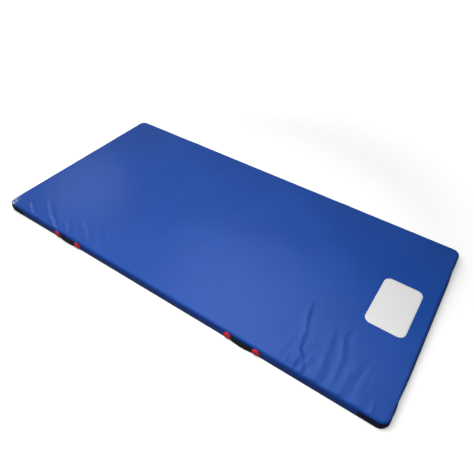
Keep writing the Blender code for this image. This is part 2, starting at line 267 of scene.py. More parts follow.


# %% The handling-marks group, with a painted corner highlight
def build_marks_and_glint():
    """Cloud is broad and soft, Scuff is thin and sparse, and Dust gathers near the floor.

    Corner glint is a painted highlight: pale specks that stand in for glints on the creased vinyl at the
    front corner of the zip end.
    """
    inputs = {"Cloud per m": 3.0, "Scuff per m": 26.0}
    tree, start, end = new_group("marks_and_corner_glint", inputs, ["Cloud", "Scuff", "Dust", "Corner glint"])
    place = object_place(tree)
    scale = start.outputs["Cloud per m"]
    cloud = add_node(tree, "ShaderNodeTexNoise", Vector=place, Scale=scale, Detail=3.0, Roughness=0.55)
    tree.links.new(cloud.outputs["Fac"], end.inputs["Cloud"])

    turned = add_node(tree, "ShaderNodeMapping", Vector=place, Rotation=(0, 0, 0.6), Scale=(1, 9, 1))
    drawn_out = turned.outputs[0]
    scale = start.outputs["Scuff per m"]
    scratches = add_node(tree, "ShaderNodeTexNoise", Vector=drawn_out, Scale=scale, Detail=6.0, Roughness=0.7)
    tree.links.new(spread(tree, scratches.outputs["Fac"], 0.62, 0.74, 0.0, 1.0), end.inputs["Scuff"])

    along, across, height = parts_of(tree, place)
    low = spread(tree, height, 0.0, 0.022, 1.0, 0.0)
    patchy = add_node(tree, "ShaderNodeTexNoise", Vector=place, Scale=30.0, Detail=4.0)
    dust = maths(tree, "MULTIPLY", low, spread(tree, patchy.outputs["Fac"], 0.35, 0.7, 0.0, 1.0))
    tree.links.new(dust, end.inputs["Dust"])

    # Painted highlight: pale specks close to the front corner of the zip end.
    from_end = maths(tree, "ADD", along, HALF_LENGTH - 0.006)
    from_side = maths(tree, "ADD", across, HALF_WIDTH - 0.014)
    squares = [maths(tree, "MULTIPLY", value, value) for value in (from_end, from_side)]
    away = maths(tree, "SQRT", maths(tree, "ADD", *squares))
    near = spread(tree, away, 0.024, 0.050, 1.0, 0.0)
    glint_noise = add_node(tree, "ShaderNodeTexNoise", Vector=place, Scale=75.0, Detail=2.0)
    glint_specks = spread(tree, glint_noise.outputs["Fac"], 0.50, 0.56, 0.0, 1.0)
    tree.links.new(maths(tree, "MULTIPLY", near, glint_specks), end.inputs["Corner glint"])
    return tree


MARKS_AND_GLINT = build_marks_and_glint()


# %% The woven group
def build_weave():
    """Threads over and under one another. Height is the relief and Shade darkens the gaps."""
    inputs = {"Warp per m": 450.0, "Weft per m": 700.0}
    tree, start, end = new_group("woven_threads", inputs, ["Height", "Shade"])
    part_x, part_y, part_z = parts_of(tree, object_place(tree))
    level = maths(tree, "MULTIPLY", part_z, start.outputs["Warp per m"])
    run = maths(tree, "ADD", part_x, part_y)
    along = maths(tree, "MULTIPLY", run, start.outputs["Weft per m"])
    stepped = maths(tree, "MULTIPLY", maths(tree, "FLOOR", level), 0.5)
    warp = maths(tree, "ABSOLUTE", maths(tree, "SINE", maths(tree, "MULTIPLY", level, math.pi)))
    shifted = maths(tree, "MULTIPLY", maths(tree, "ADD", along, stepped), 2 * math.pi)
    weft = spread(tree, maths(tree, "SINE", shifted), -1.0, 1.0, 0.35, 1.0)
    relief = maths(tree, "MULTIPLY", warp, weft)
    tree.links.new(relief, end.inputs["Height"])
    tree.links.new(spread(tree, relief, 0.0, 0.8, 0.35, 1.0), end.inputs["Shade"])
    return tree


WEAVE = build_weave()
print("shader groups:", [group.name for group in (EMBOSS, MARKS_AND_GLINT, WEAVE)])


# %% Vinyl finishes
DUST_COLOUR = (0.30, 0.28, 0.25)
# The colour of the painted highlight at the corner of the zip end.
CORNER_GLINT_COLOUR = (0.62, 0.68, 0.78)


def vinyl(
    name, deep, bright, rough,
    coat=0.0, shine=0.4, pebbles=900.0, relief=0.00012, dust=0.0, scuff=0.35, corner_glint=0.0,
):
    """Coated cloth: cloudy colour between two tones, scuffs that dull it, and an embossed face."""
    made, tree, shader = new_material(name, bright, rough, coat=coat)
    shader.inputs["Specular IOR Level"].default_value = shine
    marks = place_group(tree, MARKS_AND_GLINT).outputs
    colour = mixed_colour(tree, spread(tree, marks["Cloud"], 0.32, 0.68, 0.0, 1.0), deep, bright)
    pale = tuple(min(1.0, value * 1.35 + 0.02) for value in bright)
    # The scuff and dust layers are real marks; the corner-glint layer is painted highlight.
    layers = (("Scuff", scuff, pale), ("Dust", dust, DUST_COLOUR), ("Corner glint", corner_glint, CORNER_GLINT_COLOUR))
    for mark, amount, tone in layers:
        if amount:
            colour = mixed_colour(tree, maths(tree, "MULTIPLY", marks[mark], amount), colour, tone)
    tree.links.new(colour, shader.inputs["Base Color"])
    dulled = maths(tree, "MULTIPLY", marks["Scuff"], 0.18)
    cloudy = spread(tree, marks["Cloud"], 0.3, 0.7, rough - 0.04, rough + 0.05)
    tree.links.new(maths(tree, "ADD", cloudy, dulled), shader.inputs["Roughness"])
    emboss = place_group(tree, EMBOSS, Pebbles_per_m=pebbles)
    bump(tree, shader, emboss.outputs["Height"], relief)
    return made


TOP_VINYL = vinyl("top_vinyl", (0.0060, 0.068, 0.375), (0.0080, 0.079, 0.420), 0.33, shine=0.38, corner_glint=1.0)
# The walls' copy of the top's vinyl is a touch darker in green and blue: painted shade on the upright walls.
WALL_VINYL_SHADED = vinyl("wall_vinyl_shaded", (0.009, 0.056, 0.350), (0.012, 0.067, 0.410), 0.42, shine=0.3, dust=0.05)
GUARD_VINYL = vinyl(
    "guard_leatherette", (0.003, 0.011, 0.040), (0.004, 0.015, 0.052), 0.34, shine=0.22, pebbles=420.0,
    relief=0.0003, dust=0.04, corner_glint=0.45,
)
PATCH_VINYL = vinyl(
    "patch_vinyl", (0.70, 0.016, 0.036), (0.86, 0.024, 0.050), 0.24, coat=0.4, relief=0.00006, scuff=0.1
)
LABEL_VINYL = vinyl("label_vinyl", (0.92, 0.92, 0.915), (0.95, 0.95, 0.945), 0.42, relief=0.00005, scuff=0.1)
BACKING_VINYL = vinyl("backing_vinyl", (0.010, 0.010, 0.012), (0.016, 0.016, 0.018), 0.55)


# %% The studded underside
STUDS_PER_M = 170


def studded_rubber():
    """Rows of low studs, staggered, so that the mat grips a sports floor."""
    made, tree, shader = new_material("base_rubber", (0.012, 0.012, 0.013), 0.7)
    parts = parts_of(tree, object_place(tree))
    phases = [maths(tree, "MULTIPLY", parts[axis], 2 * math.pi * STUDS_PER_M) for axis in ("X", "Y")]
    waves = [maths(tree, "SINE", phase) for phase in phases]
    studs = spread(tree, maths(tree, "MULTIPLY", *waves), 0.1, 0.6, 0.0, 1.0)
    marks = place_group(tree, MARKS_AND_GLINT, Cloud_per_m=8.0)
    dusty = maths(tree, "MULTIPLY", marks.outputs["Cloud"], 0.14)
    tone = mixed_colour(tree, dusty, (0.009, 0.009, 0.010), (0.10, 0.095, 0.09))
    tree.links.new(tone, shader.inputs["Base Color"])
    tree.links.new(spread(tree, studs, 0.0, 1.0, 0.82, 0.58), shader.inputs["Roughness"])
    bump(tree, shader, studs, 0.0006)
    return made


BASE_RUBBER = studded_rubber()


# %% Woven finishes
def woven(name, base, rough, warp, weft, relief):
    made, tree, shader = new_material(name, base, rough)
    threads = place_group(tree, WEAVE, Warp_per_m=warp, Weft_per_m=weft)
    colour = mixed_colour(tree, threads.outputs["Shade"], scaled(base, 0.35), base)
    marks = place_group(tree, MARKS_AND_GLINT, Cloud_per_m=40.0)
    fuzz = maths(tree, "MULTIPLY", marks.outputs["Cloud"], 0.03)
    colour = mixed_colour(tree, fuzz, colour, (0.25, 0.25, 0.26))
    tree.links.new(colour, shader.inputs["Base Color"])
    uneven = spread(tree, marks.outputs["Cloud"], 0.3, 0.7, rough - 0.06, rough + 0.05)
    tree.links.new(uneven, shader.inputs["Roughness"])
    shader.inputs["Sheen Weight"].default_value = 0.05
    shader.inputs["Specular IOR Level"].default_value = 0.3
    bump(tree, shader, threads.outputs["Height"], relief)
    return made


WEBBING = woven("webbing_weave", (0.008, 0.011, 0.010), 0.72, 520.0, 420.0, 0.0005)
ZIP_TAPE = woven("zip_tape_weave", (0.020, 0.020, 0.023), 0.80, 1400.0, 900.0, 0.0002)
THREAD = woven("sewing_thread", (0.030, 0.034, 0.050), 0.55, 2500.0, 2500.0, 0.0001)
LABEL_THREAD = woven("label_thread", (0.55, 0.56, 0.58), 0.60, 2500.0, 2500.0, 0.0001)
PATCH_THREAD = woven("patch_thread", (0.48, 0.020, 0.032), 0.55, 2500.0, 2500.0, 0.0001)


# %% Foam, zip and floor finishes
def foam(name, base, cells):
    """Open cells: pores painted dark as shade in their hollows, between pale walls, with a cloudy tone from
    age.
    """
    made, tree, shader = new_material(name, base, 0.95)
    pores = add_node(tree, "ShaderNodeTexVoronoi", Vector=object_place(tree), Scale=cells).outputs["Distance"]
    marks = place_group(tree, MARKS_AND_GLINT, Cloud_per_m=5.0)
    aged = mixed_colour(tree, marks.outputs["Cloud"], base, scaled(base, 0.8))
    # Painted shade: the pores' hollows go down to under half the foam's colour.
    colour = mixed_colour(tree, spread(tree, pores, 0.15, 0.5, 0.0, 1.0), scaled(base, 0.45), aged)
    tree.links.new(colour, shader.inputs["Base Color"])
    bump(tree, shader, pores, 0.0006)
    return made


def moulded(name, base, rough, metallic, grain, relief):
    """Moulded plastic or cast metal: fine uneven gloss with a faint grain."""
    made, tree, shader = new_material(name, base, rough, metallic=metallic)
    marks = place_group(tree, MARKS_AND_GLINT, Cloud_per_m=grain, Scuff_per_m=grain * 3).outputs
    share = maths(tree, "MULTIPLY", marks["Scuff"], 0.5)
    tree.links.new(mixed_colour(tree, share, base, scaled(base, 0.55)), shader.inputs["Base Color"])
    uneven = spread(tree, marks["Cloud"], 0.3, 0.7, rough - 0.06, rough + 0.12)
    tree.links.new(uneven, shader.inputs["Roughness"])
    bump(tree, shader, marks["Cloud"], relief)
    return made


FOAM_SOFT = foam("soft_foam", (0.72, 0.68, 0.52), 700.0)
FOAM_FIRM = foam("firm_foam", (0.20, 0.22, 0.27), 420.0)
ZIP_PLASTIC = moulded("zip_plastic", (0.022, 0.022, 0.025), 0.36, 0.0, 160.0, 0.00004)
ZIP_METAL = moulded("zip_metal", (0.55, 0.55, 0.57), 0.28, 1.0, 220.0, 0.00003)


def floor_finish():
    """White to the eye, but darker in what it throws back, so that the walls stay in shade."""
    made, tree, shader = new_material("studio_floor", (0.93, 0.93, 0.935), 0.75)
    shader.inputs["Specular IOR Level"].default_value = 0.1
    marks = place_group(tree, MARKS_AND_GLINT, Cloud_per_m=0.8)
    tone = mixed_colour(tree, marks.outputs["Cloud"], (0.92, 0.92, 0.925), (0.94, 0.94, 0.945))
    seen = tree.nodes.new("ShaderNodeLightPath").outputs["Is Camera Ray"]
    tree.links.new(mixed_colour(tree, seen, (0.16, 0.16, 0.165), tone), shader.inputs["Base Color"])
    away = add_node(tree, "ShaderNodeVectorMath", {"operation": "LENGTH"})
    tree.links.new(object_place(tree), away.inputs[0])
    glow = maths(tree, "MULTIPLY", seen, spread(tree, away.outputs["Value"], 1.1, 2.4, 0.40, 1.0))
    tree.links.new(mixed_colour(tree, glow, (0, 0, 0), (1, 1, 1)), shader.inputs["Emission Color"])
    shader.inputs["Emission Strength"].default_value = 1.0
    return made


# %% Lay the floor
floor_mesh = bpy.data.meshes.new("floor")
floor_form = bmesh.new()
bmesh.ops.create_grid(floor_form, x_segments=1, y_segments=1, size=30)
floor_form.to_mesh(floor_mesh)
floor_form.free()
floor = bpy.data.objects.new("floor", floor_mesh)
floor.location.z = -0.0002
floor.data.materials.append(floor_finish())
bpy.context.scene.collection.objects.link(floor)

# %% [markdown]
# ## The cover's plan
#
# Every panel shares the mat's rounded plan, so one function answers: for a point of a flat cut
# panel, which way is outward, and how far past the straight part of the plan is it? A square grid is
# bent round each corner in rings, which keeps its edge clean. A section then says how the sheet turns
# down over the edge.


# %% Bend a flat grid to the rounded plan
CORE_X, CORE_Y = HALF_LENGTH - CORNER, HALF_WIDTH - CORNER
RIM_GRID = 0.0026  # grid spacing where a sheet turns down


def graded(*bands):
    """Grid lines in bands of (start, end, spacing), each band meeting the next."""
    lines = []
    for start, end, spacing in bands:
        count = max(1, round((end - start) / spacing))
        lines.extend(start + (end - start) * step / count for step in range(count))
    lines.append(bands[-1][1])
    return np.array(lines)


def plan_of(x, y):
    """Core point, outward direction and distance past the core, for points of the flat cut."""
    past_x = np.maximum(np.abs(x) - CORE_X, 0)
    past_y = np.maximum(np.abs(y) - CORE_Y, 0)
    far = np.maximum(past_x, past_y)
    near = np.minimum(past_x, past_y)
    share = np.divide(near, far, out=np.zeros_like(far), where=far > 0)
    turn = math.pi / 4 * share
    turn = np.where(past_x >= past_y, turn, math.pi / 2 - turn)
    outward = np.stack([np.cos(turn) * np.sign(x), np.sin(turn) * np.sign(y)], 1)
    outward[far == 0] = 0
    core = np.stack([np.clip(x, -CORE_X, CORE_X), np.clip(y, -CORE_Y, CORE_Y)], 1)
    return core, outward, far


def flat_cut(reach, inner_columns, inner_rows):
    """A flat cut that reaches past the core: its points, their places on the plan, and its quads."""
    columns, rows = (
        graded((-core - reach, -core, RIM_GRID), *inner, (core, core + reach, RIM_GRID))
        for core, inner in ((CORE_X, inner_columns), (CORE_Y, inner_rows))
    )
    x, y = (axis.ravel() for axis in np.meshgrid(columns, rows))
    return (x, y, *plan_of(x, y), grid_faces(len(columns), len(rows)))


def grid_faces(columns, rows):
    """Quads of a grid whose points run row by row."""
    starts = [row * columns + column for row in range(rows - 1) for column in range(columns - 1)]
    return [(start, start + 1, start + columns + 1, start + columns) for start in starts]


def add_piece(name, points, faces, finish, body, slot, stands_for=(), smooth=True):
    """Makes a mesh piece, gives it its finish, and lets it ride on a body of the frame."""
    mesh = bpy.data.meshes.new(name)
    mesh.from_pydata([tuple(point) for point in points], [], faces)
    mesh.update()
    if smooth:
        mesh.shade_smooth()
    piece = bpy.data.objects.new(name, mesh)
    piece.data.materials.append(finish)
    bpy.context.scene.collection.objects.link(piece)
    if body:
        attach(piece, body)
    if stands_for:
        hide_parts(*stands_for)
    return piece


def ease_edges(piece, width, angle=math.radians(30)):
    edge = piece.modifiers.new("soft_edge", "BEVEL")
    edge.width = width
    edge.segments = 2
    edge.limit_method = "ANGLE"
    edge.angle_limit = angle


def thicken(piece, thickness, rounding=0.0):
    """Gives a sheet its thickness, inward from its face, and softens its cut edge."""
    modifier = piece.modifiers.new("thickness", "SOLIDIFY")
    modifier.thickness = thickness
    modifier.offset = -1
    if rounding:
        ease_edges(piece, rounding)


# %% [markdown]
# ## The drag folds
#
# The cover is a little larger than the foam, and it was last dragged by its front edge. The spare
# vinyl gathers there into folds that run inward from the front seam and fade out: a family of long
# ones before the label, and short slanting ones near the left handle. Each fold is a drawn
# route, with a round ridge along it and a shallow trough on one side.

# %% Draw the folds
# Each fold: its route, half width, height, and the side its trough lies on.
FOLDS = (
    (((0.545, -0.12), (0.565, -0.22), (0.595, -0.32), (0.615, -0.40), (0.625, -0.47)), 0.011, 0.0030, 1),
    (((0.605, -0.38), (0.640, -0.44), (0.662, -0.495)), 0.009, 0.0030, 1),
    (((0.600, -0.42), (0.612, -0.46), (0.628, -0.50)), 0.007, 0.0022, -1),
    (((0.690, -0.22), (0.705, -0.33), (0.715, -0.40), (0.722, -0.49)), 0.016, 0.0034, 1),
    (((0.745, -0.17), (0.735, -0.26), (0.765, -0.34), (0.775, -0.42)), 0.013, 0.0028, 1),
    (((0.840, -0.28), (0.825, -0.38), (0.820, -0.44), (0.808, -0.50)), 0.014, 0.0032, 1),
    (((0.775, -0.41), (0.770, -0.45), (0.765, -0.50)), 0.010, 0.0020, -1),
    (((0.895, -0.42), (0.888, -0.46), (0.886, -0.50)), 0.010, 0.0024, 1),
    (((0.930, -0.43), (0.928, -0.50)), 0.009, 0.0018, -1),
    (((-0.87, -0.370), (-0.80, -0.42), (-0.73, -0.46), (-0.66, -0.497)), 0.010, 0.0036, 1),
    (((-0.92, -0.44), (-0.87, -0.472), (-0.84, -0.492)), 0.009, 0.0028, 1),
    (((-0.67, -0.410), (-0.63, -0.45), (-0.585, -0.492)), 0.010, 0.0026, 1),
    (((-0.60, -0.37), (-0.54, -0.42), (-0.475, -0.465)), 0.010, 0.0028, 1),
    (((-0.545, -0.295), (-0.47, -0.36), (-0.395, -0.42)), 0.011, 0.0026, 1),
    (((-0.785, 0.47), (-0.82, 0.42), (-0.855, 0.365)), 0.010, 0.0018, 1),
    (((-0.30, 0.46), (-0.315, 0.38), (-0.32, 0.29)), 0.012, 0.0014, 1),
    (((0.10, 0.47), (0.08, 0.41), (0.02, 0.36)), 0.011, 0.0011, 1),
)
FOLD_STRENGTH = 1.15  # scales the height of every fold


def smooth_noise(x, y, scale_x, scale_y, seed):
    """Smooth noise from -1 to 1 with its own scale each way."""
    return np.array([noise.noise(Vector((a * scale_x, b * scale_y, seed))) for a, b in zip(x, y)])


def eased(share):
    """A share from 0 to 1 that starts and stops gently."""
    share = np.clip(share, 0, 1)
    return share * share * (3 - 2 * share)


def fold_heights(x, y):
    """How far the folds lift the sheet at each point."""
    height = np.zeros_like(x)
    bend_x, bend_y = smooth_noise(x, y, 13.0, 17.0, 6.3), smooth_noise(x, y, 17.0, 13.0, 8.6)
    x, y = x + 0.007 * bend_x, y + 0.007 * bend_y
    uneven = 0.85 + 0.55 * smooth_noise(x, y, 24.0, 21.0, 4.9)
    for route, width, rise, trough_side in FOLDS:
        stops = np.array(route)
        lengths = np.linalg.norm(np.diff(stops, axis=0), axis=1)
        reached = np.concatenate([[0], np.cumsum(lengths)])
        nearest = np.full(x.shape, 1e9)
        side = np.zeros_like(x)
        share = np.zeros_like(x)
        for index, length in enumerate(lengths):
            start = stops[index]
            run = (stops[index + 1] - start) / length
            along = np.clip((x - start[0]) * run[0] + (y - start[1]) * run[1], 0, length)
            off_x = x - start[0] - run[0] * along
            off_y = y - start[1] - run[1] * along
            away = np.hypot(off_x, off_y)
            closer = away < nearest
            nearest = np.where(closer, away, nearest)
            side = np.where(closer, np.sign(run[0] * off_y - run[1] * off_x), side)
            share = np.where(closer, (reached[index] + along) / reached[-1], share)
        signed = nearest * side * trough_side
        fade_in = eased(share / 0.45)
        ends = np.exp(-np.maximum(nearest - 3 * width, 0) / width)
        slope = np.where(signed > 0, 0.62, 1.25) * width
        ridge = np.exp(-((signed / slope) ** 2))
        trough = np.exp(-(((signed - 1.7 * width) / (0.9 * width)) ** 2))
        height += FOLD_STRENGTH * rise * uneven * fade_in * ends * (ridge - 0.55 * trough)
    return height


def gathers(x, y, pitch, seed):
    """Ridges that run in from the front seam, unevenly spaced, with round crests and tight valleys."""
    wander = 0.5 * pitch * smooth_noise(x, y, 8.0, 5.0, seed)
    lean = 0.10 * (HALF_WIDTH + y)
    phase = (x + wander - lean) / pitch + 0.8 * smooth_noise(x, y, 5.0, 1.5, seed + 3)
    wave = np.abs(np.sin(math.pi * phase)) ** 0.7
    strength = 0.5 + 0.9 * smooth_noise(x, y, 11.0, 6.0, seed + 5)
    return (wave - 0.6) * np.clip(strength, 0, 1.2)


def slack_heights(x, y):
    """The broad unevenness: gathers behind the front seam, crumples in them, and a slow swell."""
    from_front = np.clip(HALF_WIDTH + y, 0, 1)
    right_part = np.exp(-(((x - 0.72) / 0.17) ** 4))
    reach = 0.13 + 0.07 * smooth_noise(x, y, 7.0, 0.0, 6.1)
    gathered = right_part * np.exp(-((from_front / reach) ** 2))
    drag = gathered * (0.0064 * gathers(x, y, 0.040, 3.1) + 0.0024 * gathers(x, y, 0.019, 12.4))
    crumple_part = np.exp(-(((x - 0.52) / 0.30) ** 2)) * np.exp(-from_front / 0.16)
    crumple = 0.0009 * crumple_part * smooth_noise(x, y, 52.0, 38.0, 2.7)
    left_part = 1 / (1 + np.exp((x + 0.45) / 0.06))
    slant = 0.0012 * np.exp(-from_front / 0.13) * left_part * smooth_noise(x + y, y - x, 9.0, 3.0, 7.7)
    back_drag = 0.0008 * np.exp(-(HALF_WIDTH - y) / 0.08) * smooth_noise(x, y, 9.0, 3.0, 5.2)
    swell = 0.0008 * smooth_noise(x, y, 3.1, 3.6, 1.3) + 0.00035 * smooth_noise(x, y, 9.0, 8.0, 9.9)
    return drag + crumple + slant + back_drag + swell


# %% [markdown]
# ## The top panel
#
# The real panel is one flat cut of vinyl whose rim is pulled down over the foam's edge and sewn to
# the walls. A grid with finer lines where the folds are is laid over the plan, turned down along an
# arc, and tucked in at the seam, where tight thread puckers it.

# %% Make the top panel
EDGE = 0.012  # radius of the rim
TURN = math.radians(72)  # how far round the rim the seam lies
TUCK = 0.003  # seam allowance that turns in
DEEPEST = 0.0034  # a trough stays this close to the flat sheet, clear of the foam
FLAT_RIM = CORNER - EDGE
RIM_REACH = FLAT_RIM + EDGE * TURN + TUCK


def rim_section(past):
    """Distance out from the core, height, and the tilt of the sheet, over the rounded rim."""
    around = np.clip((past - FLAT_RIM) / EDGE, 0, TURN)
    tucked = np.maximum(past - FLAT_RIM - EDGE * TURN, 0)
    out = np.minimum(past, FLAT_RIM) + EDGE * np.sin(around) - tucked * 0.8
    height = TOP - EDGE * (1 - np.cos(around)) - tucked * 0.5
    return out, height, around


def make_top_panel():
    inner_columns = ((-CORE_X, -0.36, 0.0065), (-0.36, 0.50, 0.012), (0.50, CORE_X, 0.0045))
    inner_rows = ((-CORE_Y, -0.08, 0.0060), (-0.08, CORE_Y, 0.012))
    flat_x, flat_y, core, outward, past, faces = flat_cut(RIM_REACH, inner_columns, inner_rows)
    out, height, tilt = rim_section(past)
    plan = core + outward * out[:, None]
    held = eased((RIM_REACH - TUCK - past) / 0.016)
    lift = fold_heights(plan[:, 0], plan[:, 1]) + slack_heights(plan[:, 0], plan[:, 1])
    lift = np.maximum(lift, -DEEPEST) * held
    ring = flat_x + 1.7 * flat_y
    pucker = 0.00045 * smooth_noise(ring, ring, 46.0, 0.0, 2.2)
    on_rim = np.exp(-(((past - (RIM_REACH - TUCK - 0.006)) / 0.006) ** 2))
    lift += pucker * on_rim
    points = np.column_stack([plan, height])
    points[:, :2] += outward * (np.sin(tilt) * lift)[:, None]
    points[:, 2] += np.cos(tilt) * lift
    return add_piece("top_cover", points, faces, TOP_VINYL, "mat", "pvc_blue", ["top_panel"])


top_cover = make_top_panel()
print("top panel:", len(top_cover.data.vertices), "points")

# %% [markdown]
# ## The walls
#
# A wall is a strip that runs round part of the rim. It is drawn in at both seams and stands out a
# millimetre or two between them. The two long walls turn the corners. The right end has one strip.
# The left end has two, with a gap between them for the zip.


# %% Walk round the rim
STRAIGHT_X = 2 * CORE_X
STRAIGHT_Y = 2 * CORE_Y
BEND = CORNER * math.pi / 2
PERIMETER = 2 * (STRAIGHT_X + STRAIGHT_Y) + 4 * BEND


def rim_at(distance, inset=0.0):
    """Plan point and outward direction at a distance round the rim, from the front wall's left end.

    It runs along the front to the right, up the right end, back along the back wall and down the left.
    """
    distance = distance % PERIMETER
    legs = (
        (STRAIGHT_X, Vector((-CORE_X, -HALF_WIDTH)), 0),
        (STRAIGHT_Y, Vector((HALF_LENGTH, -CORE_Y)), math.pi / 2),
        (STRAIGHT_X, Vector((CORE_X, HALF_WIDTH)), math.pi),
        (STRAIGHT_Y, Vector((-HALF_LENGTH, CORE_Y)), -math.pi / 2),
    )
    for length, start, heading in legs:
        way = Vector((math.cos(heading), math.sin(heading)))
        outward = Vector((way.y, -way.x))
        if distance <= length:
            return start + way * distance - outward * inset, outward
        distance -= length
        if distance <= BEND:
            turn = heading + distance / CORNER
            centre = start + way * length - outward * CORNER
            outward = Vector((math.sin(turn), -math.cos(turn)))
            return centre + outward * (CORNER - inset), outward
        distance -= BEND
    return legs[0][1], Vector((0, -1))


DRAW = 0.0022  # how far a seam draws a wall in
STRIP_STEP = 0.006  # spacing of a strip's points
SEAM_BAND = 0.002  # how near a seam a wall keeps its plain drawn-in shape
SWELL_RAMP = 0.12  # a swell grows to its full height over this distance
WALL_TOP_JOIN = WALL_HIGH - 0.0004
GUARD_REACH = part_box("corner_guard_front_right")[1].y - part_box("corner_guard_front_right")[0].y - CORNER


def drawn_in(share):
    """How far a wall is drawn in, where share is 0 at one seam and 1 at the other."""
    return DRAW * (1 - math.sin(math.pi * share) ** 0.45)


def wall_inset(height):
    return drawn_in(min(max((height - WALL_LOW) / (WALL_HIGH - WALL_LOW), 0), 1))


def lower_inset(height):
    """The strip under the zip is drawn in at its bottom seam only."""
    return drawn_in((height - WALL_LOW) / (SLOT_LOW - WALL_LOW) / 2)


def upper_inset(height):
    """The strip over the zip is drawn in at its top seam only."""
    return drawn_in((WALL_HIGH - height) / (WALL_HIGH - SLOT_HIGH) / 2)


def ripple(distance, height):
    """Small uneven dents along a wall."""
    broad = 0.0006 * noise.noise(Vector((distance * 14, height * 40, 4.4)))
    return broad + 0.00036 * noise.noise(Vector((distance * 45, height * 25, 8.1)))


def make_strip(
    name, start, end, heights, inset_at, finish, slot, stands_for, stand_off=0.0, bulge=0.0, swell=0.0
):
    """A strip of wall between two distances round the rim, through a list of heights."""
    steps = max(2, round((end - start) / STRIP_STEP))
    points = []
    for height in heights:
        belly = math.sin(math.pi * (height - WALL_LOW) / (WALL_HIGH - WALL_LOW))
        for step in range(steps + 1):
            distance = start + (end - start) * step / steps
            inset = inset_at(height) - stand_off
            if WALL_LOW + SEAM_BAND < height < WALL_HIGH - SEAM_BAND:
                from_end = min(distance - start, end - distance) - GUARD_REACH
                inset -= ripple(distance, height) + swell * min(max(from_end / SWELL_RAMP, 0), 1) * belly
                inset -= bulge * max(0, noise.noise(Vector((distance * 75, height * 110, 2.9))))
            plan, _ = rim_at(distance, inset)
            points.append((plan.x, plan.y, height))
    return add_piece(name, points, grid_faces(steps + 1, len(heights)), finish, "mat", slot, stands_for)


def heights_between(low, high, count):
    return [low + (high - low) * index / (count - 1) for index in range(count)]


# %% Sew on the walls
wall_heights = heights_between(WALL_LOW, WALL_TOP_JOIN, 11)
lower_heights = heights_between(WALL_LOW, SLOT_LOW, 6)
upper_heights = heights_between(SLOT_HIGH, WALL_TOP_JOIN, 6)
right_start = STRAIGHT_X + BEND
back_start = right_start + STRAIGHT_Y
left_start = back_start + STRAIGHT_X + 2 * BEND
left_end = left_start + STRAIGHT_Y
# Each wall: its piece, its node, its stretch of the rim, its heights, its inset and its swell.
WALLS = (
    ("front_wall_cover", "front_wall", (-BEND, right_start), wall_heights, wall_inset, 0.0),
    ("right_end_cover", "right_end_wall", (right_start, back_start), wall_heights, wall_inset, 0.0045),
    ("back_wall_cover", "back_wall", (back_start, left_start), wall_heights, wall_inset, 0.0),
    ("left_end_lower_cover", "left_end_wall_lower", (left_start, left_end), lower_heights, lower_inset, 0.0),
    ("left_end_upper_cover", "left_end_wall_upper", (left_start, left_end), upper_heights, upper_inset, 0.0),
)
for name, node, (start, end), heights, inset_at, swell in WALLS:
    cover = make_strip(name, start, end, heights, inset_at, WALL_VINYL_SHADED, "pvc_blue", [node], swell=swell)
    thicken(cover, 0.0008)
    flat = (end - start, heights[-1] - heights[0] + 0.001)
    print(name, [round(side, 3) for side in flat])

# %% [markdown]
# ## The underside
#
# The base is a studded rubber sheet. Its rim turns up to the walls, and from the front that turned-up
# rim is the thin black line along the floor.


# %% Make the base panel
def make_base_panel():
    edge = WALL_LOW - 0.0002
    reach = CORNER - edge + edge * math.pi / 2
    _, _, core, outward, past, faces = flat_cut(reach, [(-CORE_X, CORE_X, 0.04)], [(-CORE_Y, CORE_Y, 0.04)])
    around = np.clip((past - (CORNER - edge)) / edge, 0, math.pi / 2)
    out = np.minimum(past, CORNER - edge) + edge * np.sin(around)
    out -= 0.0016 * (around / (math.pi / 2)) ** 3
    plan = core + outward * out[:, None]
    points = np.column_stack([plan, edge * (1 - np.cos(around))])
    faces = [tuple(reversed(face)) for face in faces]
    return add_piece("base_cover", points, faces, BASE_RUBBER, "mat", "pvc_black", ["base_panel"])


base_cover = make_base_panel()

# %% [markdown]
# ## The foam core
#
# Two slabs, the soft one on top. They are hidden unless the zip is open, so they are plain rounded
# slabs, but with the foam's own open cells. They stay clear of the cover's troughs.


# %% Make the foam slabs
SLAB_INSET = 0.006  # how far a slab stays inside the cover's plan


def points_and_faces(form):
    """Reads a form out as points and faces, and frees it."""
    form.verts.index_update()
    points = np.array([vertex.co for vertex in form.verts])
    faces = [tuple(vertex.index for vertex in face.verts) for face in form.faces]
    form.free()
    return points, faces


def make_slab(name, low, high, rounded_rim, finish, slot, node):
    """A slab between two heights, with round corners and its edge eased at the height rounded_rim."""
    form = bmesh.new()
    bmesh.ops.create_cube(form, size=1)
    size = (2 * (HALF_LENGTH - SLAB_INSET), 2 * (HALF_WIDTH - SLAB_INSET), high - low)
    bmesh.ops.scale(form, verts=form.verts, vec=size)
    bmesh.ops.translate(form, verts=form.verts, vec=(0, 0, (high + low) / 2))
    upright = [edge for edge in form.edges if abs(edge.verts[0].co.z - edge.verts[1].co.z) > 1e-6]
    bmesh.ops.bevel(form, geom=upright, offset=CORNER, segments=6, profile=0.5, affect="EDGES")
    rim = [edge for edge in form.edges if all(abs(v.co.z - rounded_rim) < 1e-6 for v in edge.verts)]
    bmesh.ops.bevel(form, geom=rim, offset=0.006, segments=3, profile=0.5, affect="EDGES")
    add_piece(name, *points_and_faces(form), finish, "mat", slot, [node], smooth=False)


SLAB_LOW, SLAB_HIGH = 0.0022, TOP - 0.0045
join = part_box("foam_core_firm")[1].z
make_slab("firm_foam_core", SLAB_LOW, join, SLAB_LOW, FOAM_FIRM, "foam_firm", "foam_core_firm")
make_slab("soft_foam_core", join + 0.0004, SLAB_HIGH, SLAB_HIGH, FOAM_SOFT, "foam_soft", "foam_core_soft")

# %% [markdown]
# ## Stitching
#
# Each stitch is a short spindle of thread lying in the vinyl. One function lays a row of them along a
# path of points with outward directions, at an even pitch, as a sewing machine does.


